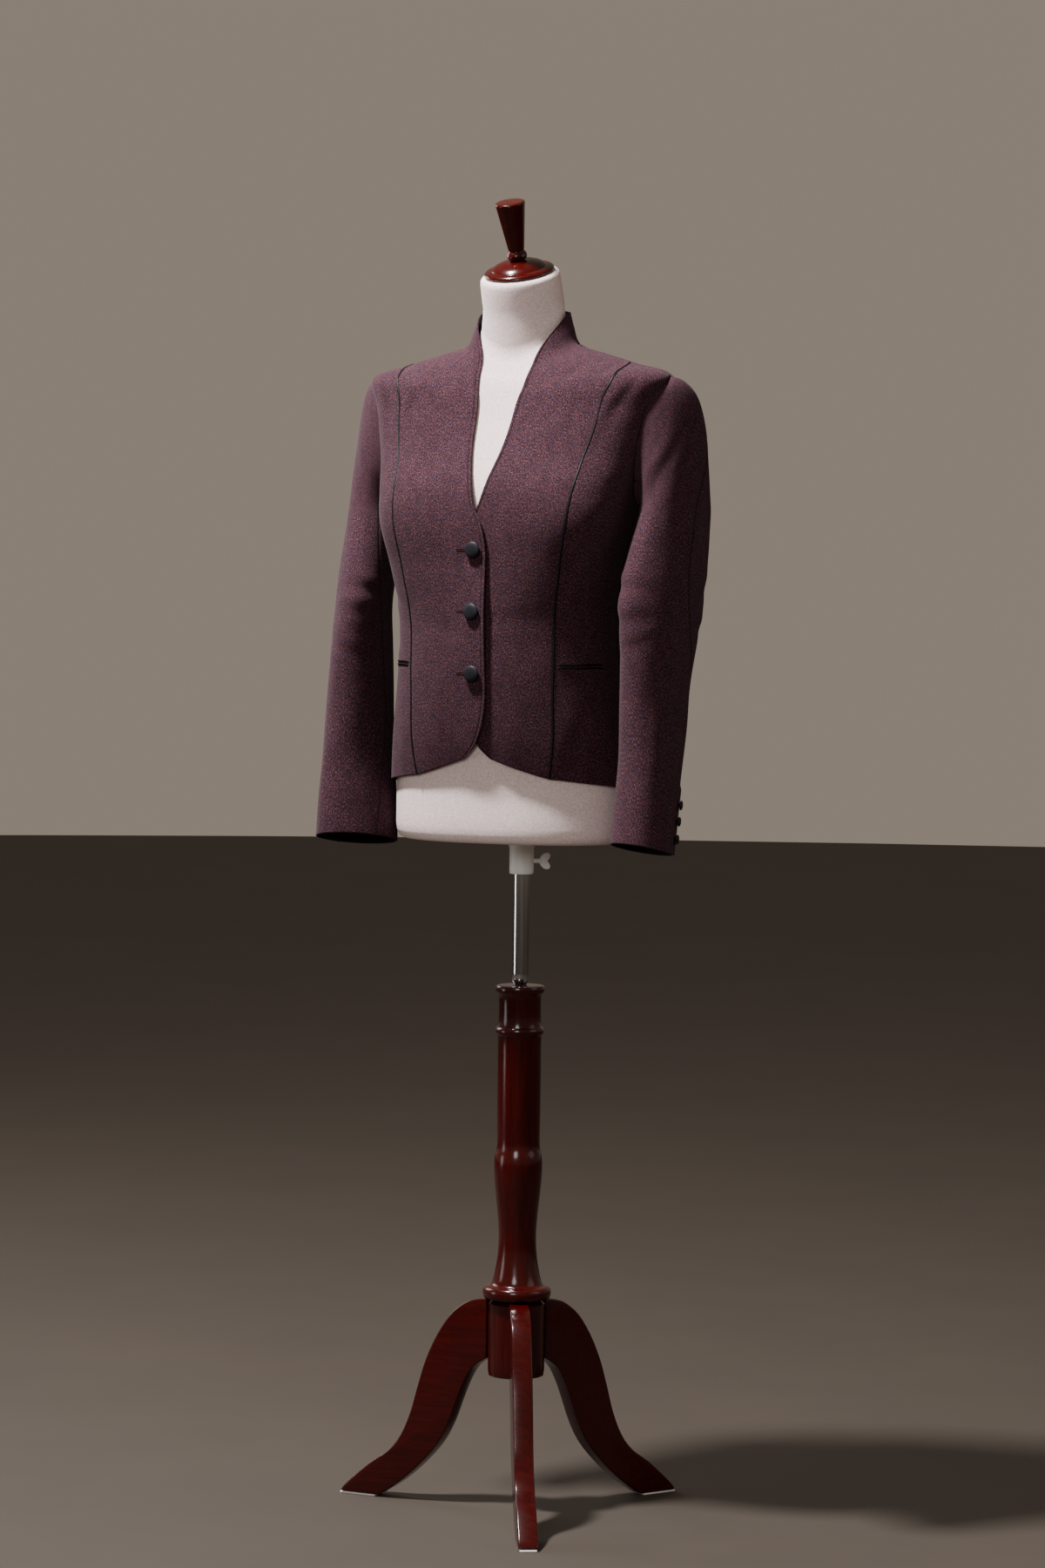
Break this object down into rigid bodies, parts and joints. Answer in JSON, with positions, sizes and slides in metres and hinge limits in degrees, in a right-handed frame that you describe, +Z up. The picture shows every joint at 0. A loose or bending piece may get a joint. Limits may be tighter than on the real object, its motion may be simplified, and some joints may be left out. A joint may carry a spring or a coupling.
{
  "type": "blazer on a dress form",
  "caption": "Fitted plum wool blazer with a V neck, stand collar and princess seams, buttoned on a limbless dress form with a turned wooden tripod stand.",
  "frame": {"origin": "on the floor, below the middle of the whole", "axes": "+Z up, the garment faces -Y, +X is the wearer's left"},
  "size_m": [0.4985, 0.4422, 1.6896],
  "materials": {
    "flannel": "heathered plum wool flannel, matt",
    "satin": "black satin, soft sheen",
    "covered_button": "black covered button, soft sheen",
    "jersey": "pale natural jersey, matt",
    "mahogany": "dark red mahogany stain, gloss lacquer",
    "chrome": "bright chrome plate",
    "milky": "milky white plastic, satin"
  },
  "bodies": {
    "base": {"pillar": "mahogany", "hub": "mahogany", "leg_1": "mahogany", "leg_2": "mahogany", "leg_3": "mahogany", "foot_pad_1": "milky", "foot_pad_2": "milky", "foot_pad_3": "milky"},
    "tube": {"pole": "chrome"},
    "form": {"torso": "jersey", "neck_cap": "mahogany", "finial": "mahogany", "socket": "milky", "right_front": "flannel", "right_side_front": "flannel", "right_back": "flannel", "right_top_sleeve": "flannel", "right_under_sleeve": "flannel", "right_piping": "satin", "right_pocket_welt": "satin", "right_cuff_button_1": "covered_button", "right_cuff_button_2": "covered_button", "right_cuff_button_3": "covered_button", "left_front": "flannel", "left_side_front": "flannel", "left_back": "flannel", "left_top_sleeve": "flannel", "left_under_sleeve": "flannel", "left_piping": "satin", "left_pocket_welt": "satin", "left_cuff_button_1": "covered_button", "left_cuff_button_2": "covered_button", "left_cuff_button_3": "covered_button", "back_collar": "flannel", "front_button_1": "covered_button", "front_button_2": "covered_button", "front_button_3": "covered_button"},
    "screw": {"thumb_screw": "milky"}
  },
  "joints": [
    {"name": "tube_turn", "type": "hinge", "parent": "base", "child": "tube", "pos_m": [0.00075, 0.0016, 0.678], "axis": [0, 0, 1], "continuous": true},
    {"name": "form_height", "type": "slide", "parent": "tube", "child": "form", "axis": [0, 0, 1], "range_m": [-0.14, 0.15]},
    {"name": "screw_turn", "type": "hinge", "parent": "form", "child": "screw", "pos_m": [0.01888, 0.01005, 0.838], "axis": [0.9063, 0.4226, 0], "continuous": true}
  ]
}
